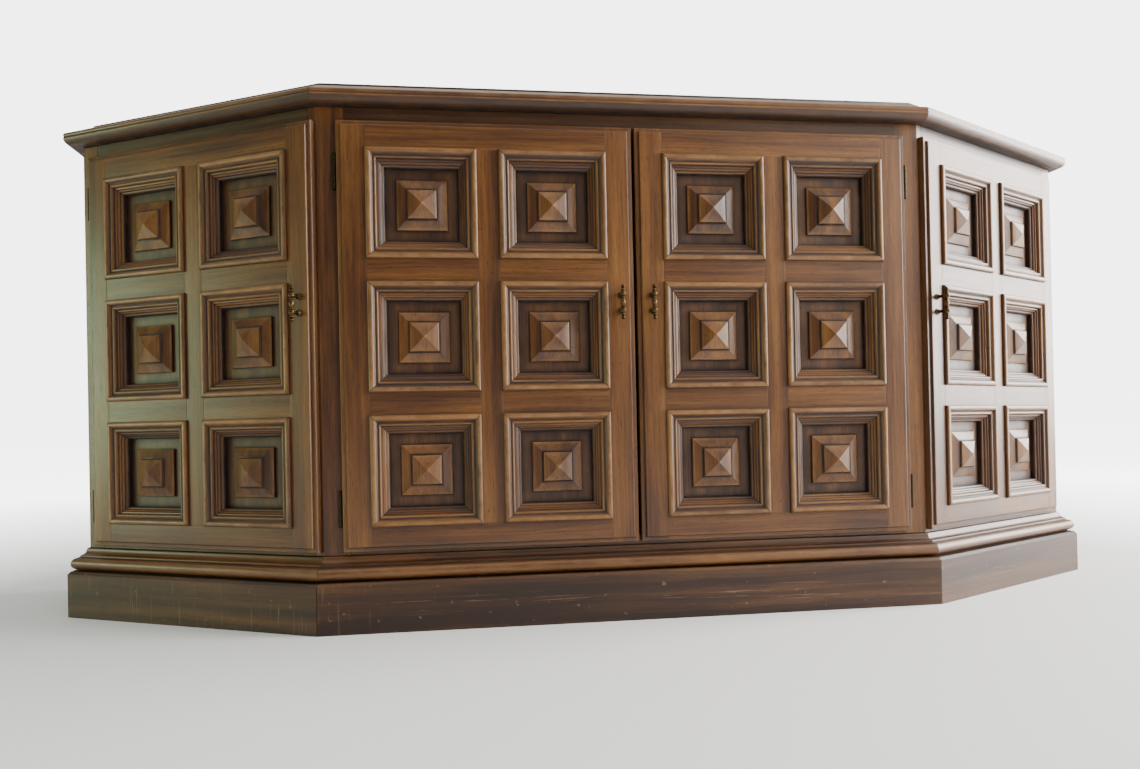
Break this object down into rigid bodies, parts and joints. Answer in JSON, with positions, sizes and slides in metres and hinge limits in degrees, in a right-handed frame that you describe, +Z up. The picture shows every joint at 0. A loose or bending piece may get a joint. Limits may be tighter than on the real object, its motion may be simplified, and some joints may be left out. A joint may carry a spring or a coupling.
{
  "type": "console television cabinet",
  "caption": "Six-sided walnut console cabinet with moulded doors on butt hinges, canted end bays, plinth and moulded top, and a television set behind the front doors.",
  "frame": {"origin": "on the floor, under the centre of the object's bounding box", "axes": "+X along the front to the right of someone facing the doors, the doors face -Y, +Z up"},
  "size_m": [1.7132, 0.5608, 0.7679],
  "materials": {
    "walnut_case": "medium walnut, satin lacquer, darker in the recesses",
    "walnut_door": "medium walnut, satin lacquer, darker in the recesses",
    "inside_wood": "stained secondary wood, thin sealer",
    "hardboard": "raw brown hardboard",
    "antique_brass": "antiqued brass, dark in the grooves",
    "hinge_brass": "dark antiqued brass",
    "tube_glass": "polished grey-green glass",
    "bezel_plastic": "black moulded plastic",
    "tv_black": "board painted matt black",
    "panel_metal": "dark brushed and anodised",
    "knob_plastic": "black, satin",
    "speaker_metal": "black basket and paper cone",
    "chassis_steel": "plated sheet steel"
  },
  "bodies": {
    "cabinet": {"plinth_front": "walnut_case", "plinth_left_cant": "walnut_case", "plinth_right_cant": "walnut_case", "plinth_left_side": "walnut_case", "plinth_right_side": "walnut_case", "plinth_back": "inside_wood", "base_moulding": "walnut_case", "left_corner_post": "walnut_case", "left_side_panel": "walnut_case", "left_partition": "inside_wood", "left_cant_top_rail": "walnut_case", "left_shelf": "inside_wood", "left_back_panel": "hardboard", "right_corner_post": "walnut_case", "right_side_panel": "walnut_case", "right_partition": "inside_wood", "right_cant_top_rail": "walnut_case", "right_shelf": "inside_wood", "right_back_panel": "hardboard", "front_top_rail": "walnut_case", "bottom_board": "inside_wood", "top_board": "walnut_case", "left_cant_door_lower_hinge_frame_leaf": "hinge_brass", "left_cant_door_upper_hinge_frame_leaf": "hinge_brass", "front_left_door_lower_hinge_frame_leaf": "hinge_brass", "front_left_door_upper_hinge_frame_leaf": "hinge_brass", "front_right_door_lower_hinge_frame_leaf": "hinge_brass", "front_right_door_upper_hinge_frame_leaf": "hinge_brass", "right_cant_door_lower_hinge_frame_leaf": "hinge_brass", "right_cant_door_upper_hinge_frame_leaf": "hinge_brass", "tv_baffle": "tv_black", "picture_tube": "tube_glass", "screen_bezel": "bezel_plastic", "control_panel": "panel_metal", "speaker": "speaker_metal", "tv_chassis": "chassis_steel", "tv_back_cover": "hardboard"},
    "left_cant_door": {"left_cant_door_frame": "walnut_door", "left_cant_door_panel": "walnut_door", "left_cant_door_pull": "antique_brass", "left_cant_door_lower_hinge_door_leaf": "hinge_brass", "left_cant_door_upper_hinge_door_leaf": "hinge_brass"},
    "front_left_door": {"front_left_door_frame": "walnut_door", "front_left_door_panel": "walnut_door", "front_left_door_pull": "antique_brass", "front_left_door_lower_hinge_door_leaf": "hinge_brass", "front_left_door_upper_hinge_door_leaf": "hinge_brass"},
    "front_right_door": {"front_right_door_frame": "walnut_door", "front_right_door_panel": "walnut_door", "front_right_door_pull": "antique_brass", "front_right_door_lower_hinge_door_leaf": "hinge_brass", "front_right_door_upper_hinge_door_leaf": "hinge_brass"},
    "right_cant_door": {"right_cant_door_frame": "walnut_door", "right_cant_door_panel": "walnut_door", "right_cant_door_pull": "antique_brass", "right_cant_door_lower_hinge_door_leaf": "hinge_brass", "right_cant_door_upper_hinge_door_leaf": "hinge_brass"},
    "vhf_channel_knob": {"vhf_channel_knob": "knob_plastic"},
    "uhf_channel_knob": {"uhf_channel_knob": "knob_plastic"},
    "volume_knob": {"volume_knob": "knob_plastic"}
  },
  "joints": [
    {"name": "left_cant_door_hinge", "type": "hinge", "parent": "cabinet", "child": "left_cant_door", "pos_m": [-0.81636, -0.03711, 0.4096], "axis": [0, 0, -1], "range_deg": [0, 110]},
    {"name": "front_left_door_hinge", "type": "hinge", "parent": "cabinet", "child": "front_left_door", "pos_m": [-0.4236, -0.24985, 0.4096], "axis": [0, 0, -1], "range_deg": [0, 110]},
    {"name": "front_right_door_hinge", "type": "hinge", "parent": "cabinet", "child": "front_right_door", "pos_m": [0.4236, -0.24985, 0.4096], "axis": [0, 0, 1], "range_deg": [0, 110]},
    {"name": "right_cant_door_hinge", "type": "hinge", "parent": "cabinet", "child": "right_cant_door", "pos_m": [0.81636, -0.03711, 0.4096], "axis": [0, 0, 1], "range_deg": [0, 110]},
    {"name": "vhf_channel_turn", "type": "hinge", "parent": "cabinet", "child": "vhf_channel_knob", "pos_m": [0.29, -0.20945, 0.5946], "axis": [0, 1, 0], "continuous": true},
    {"name": "uhf_channel_turn", "type": "hinge", "parent": "cabinet", "child": "uhf_channel_knob", "pos_m": [0.29, -0.20945, 0.5096], "axis": [0, 1, 0], "continuous": true},
    {"name": "volume_turn", "type": "hinge", "parent": "cabinet", "child": "volume_knob", "pos_m": [0.29, -0.20945, 0.4246], "axis": [0, 1, 0], "range_deg": [0, 300]}
  ]
}
